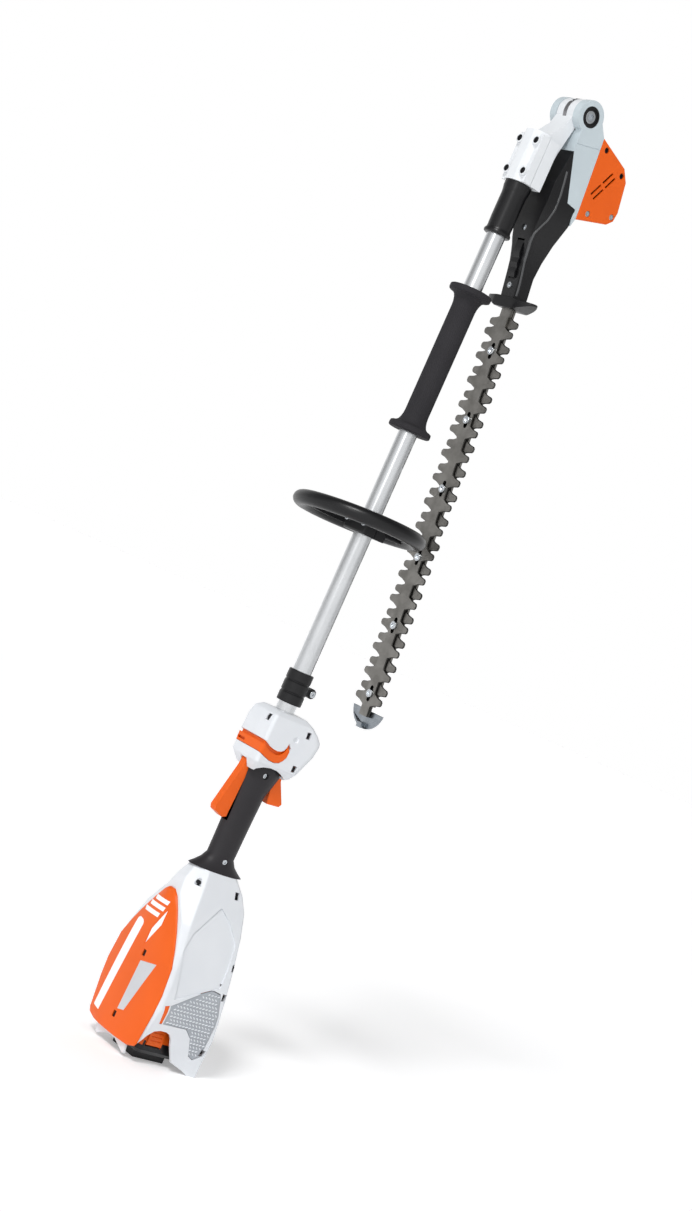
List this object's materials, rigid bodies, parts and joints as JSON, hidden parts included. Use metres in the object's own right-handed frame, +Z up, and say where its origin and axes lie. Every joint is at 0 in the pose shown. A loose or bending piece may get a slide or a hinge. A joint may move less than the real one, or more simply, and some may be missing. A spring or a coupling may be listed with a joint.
{
  "type": "pole hedge trimmer",
  "caption": "Battery pole hedge trimmer with a folding double-sided cutting head, loop handle, foam grip and trigger handle on a straight tube.",
  "frame": {"origin": "on the pole axis, at the flat base of the battery housing", "axes": "+Z up along the pole to the head's pivot, +X towards the trigger and the folded blades, +Y along the head's pivot to the operator's left"},
  "size_m": [0.2421, 0.1716, 1.2835],
  "materials": {
    "white_shell": "moulded nylon shell, fine texture",
    "orange_shell": "moulded orange nylon, fine texture",
    "grille": "light grey moulded grille with raised ribs",
    "dark_screw": "black oxide steel screw",
    "bright_screw": "zinc plated steel",
    "black_plastic": "black glass-filled nylon",
    "circuit_board": "solder-masked board",
    "handle_rubber": "soft-touch dark grey overmould",
    "cable": "rubber cable jacket",
    "tube_aluminium": "drawn and polished aluminium",
    "grip_rubber": "ribbed foam rubber hose",
    "cast_white": "powder-coated casting",
    "cast_grey": "pale grey coated magnesium casting",
    "gear_steel": "machined steel",
    "winding": "enamelled copper winding",
    "blade_steel": "ground blade steel",
    "guard_steel": "plated steel guard",
    "cell_wrap": "shrink-wrapped cell"
  },
  "bodies": {
    "pole": {"housing_right": "white_shell", "housing_left": "white_shell", "back_cover": "orange_shell", "intake_grilles": "grille", "grille_tabs": "orange_shell", "housing_screws": "dark_screw", "cover_screws": "dark_screw", "battery_contacts": "black_plastic", "control_board": "circuit_board", "handle_right": "handle_rubber", "handle_left": "handle_rubber", "handle_screws": "bright_screw", "control_housing_right": "white_shell", "control_housing_left": "white_shell", "control_screws": "dark_screw", "trigger_switch": "black_plastic", "motor_cable": "cable", "shaft_tube": "tube_aluminium", "strap_clamp": "black_plastic", "strap_clamp_screw": "bright_screw", "loop_handle": "black_plastic", "loop_clamp_cap": "black_plastic", "loop_screws": "bright_screw", "grip_hose": "grip_rubber", "joint_sleeve": "black_plastic", "bracket_body": "cast_white", "bracket_cap": "cast_white", "bracket_screws": "dark_screw", "pivot_bolt": "bright_screw", "detent_disc": "gear_steel"},
    "cutter_head": {"gear_housing": "cast_grey", "casing_outer": "black_plastic", "casing_inner": "black_plastic", "casing_screws": "bright_screw", "motor_cover_right": "orange_shell", "motor_cover_left": "orange_shell", "motor_cover_screws": "bright_screw", "motor_stator": "winding", "drive_bearings": "gear_steel", "pivot_bushes": "black_plastic", "hand_guard": "black_plastic", "blade_bar": "blade_steel", "bar_screws": "bright_screw", "tip_guard": "guard_steel"},
    "motor": {"motor_rotor": "gear_steel", "motor_fan": "black_plastic", "motor_pinion": "gear_steel"},
    "crank": {"crank_gear": "gear_steel"},
    "blade_upper": {"upper_blade": "blade_steel"},
    "blade_lower": {"lower_blade": "blade_steel"},
    "trigger": {"trigger": "orange_shell"},
    "lockout": {"lockout_lever": "orange_shell"},
    "latch": {"retaining_latch": "orange_shell"},
    "head_release": {"release_lever": "black_plastic"},
    "head_pawl": {"lock_pawl": "gear_steel"},
    "battery": {"battery_case": "orange_shell", "battery_base": "black_plastic", "battery_cells": "cell_wrap"},
    "latch_right": {"battery_latch_right": "orange_shell"},
    "latch_left": {"battery_latch_left": "orange_shell"}
  },
  "joints": [
    {"name": "head_fold", "type": "hinge", "parent": "pole", "child": "cutter_head", "pos_m": [0.0395, 0, 1.263], "axis": [0, -1, 0], "range_deg": [0, 220]},
    {"name": "crank_spin", "type": "hinge", "parent": "cutter_head", "child": "crank", "pos_m": [0.05001, 0, 1.15953], "axis": [0.9949, 0, 0.1011], "continuous": true},
    {"name": "motor_spin", "type": "hinge", "parent": "cutter_head", "child": "motor", "pos_m": [0.04698, 0, 1.18938], "axis": [0.9949, 0, 0.1011], "continuous": true},
    {"name": "upper_blade_slide", "type": "slide", "parent": "cutter_head", "child": "blade_upper", "axis": [0.1011, 0, -0.9949], "range_m": [-0.0075, 0.0075]},
    {"name": "lower_blade_slide", "type": "slide", "parent": "cutter_head", "child": "blade_lower", "axis": [0.1011, 0, -0.9949], "range_m": [-0.0075, 0.0075]},
    {"name": "trigger_pull", "type": "hinge", "parent": "pole", "child": "trigger", "pos_m": [0.025, 0, 0.386], "axis": [0, 1, 0], "range_deg": [0, 10], "stiffness_Nm_per_rad": 0.6, "springref_deg": -5.73},
    {"name": "lockout_press", "type": "hinge", "parent": "pole", "child": "lockout", "pos_m": [-0.022, 0, 0.386], "axis": [0, -1, 0], "range_deg": [0, 9], "stiffness_Nm_per_rad": 0.6, "springref_deg": -5.73},
    {"name": "latch_slide", "type": "slide", "parent": "pole", "child": "latch", "axis": [0, 0, 1], "range_m": [0, 0.004], "stiffness_N_per_m": 400, "springref_m": -0.003},
    {"name": "release_press", "type": "hinge", "parent": "cutter_head", "child": "head_release", "pos_m": [0.04235, 0, 1.09141], "axis": [0, 1, 0], "range_deg": [0, 8]},
    {"name": "pawl_slide", "type": "slide", "parent": "cutter_head", "child": "head_pawl", "axis": [0.1011, 0, -0.9949], "range_m": [0, 0.0038], "stiffness_N_per_m": 400, "springref_m": -0.004},
    {"name": "battery_slide", "type": "slide", "parent": "pole", "child": "battery", "axis": [0, 0, -1], "range_m": [0, 0.16]},
    {"name": "right_latch_squeeze", "type": "hinge", "parent": "battery", "child": "latch_right", "pos_m": [-0.01, -0.0386, 0.0565], "axis": [1, 0, 0], "range_deg": [0, 5], "stiffness_Nm_per_rad": 0.3, "springref_deg": -5.73},
    {"name": "left_latch_squeeze", "type": "hinge", "parent": "battery", "child": "latch_left", "pos_m": [-0.01, 0.0386, 0.0565], "axis": [-1, 0, 0], "range_deg": [0, 5], "stiffness_Nm_per_rad": 0.3, "springref_deg": -5.73}
  ],
  "couplings": [
    {"joint": "motor_spin", "follows": "crank_spin", "ratio": -4},
    {"joint": "lower_blade_slide", "follows": "upper_blade_slide", "ratio": -1},
    {"joint": "release_press", "follows": "pawl_slide", "rad_per_m": 36.744},
    {"joint": "left_latch_squeeze", "follows": "right_latch_squeeze", "ratio": 1}
  ]
}
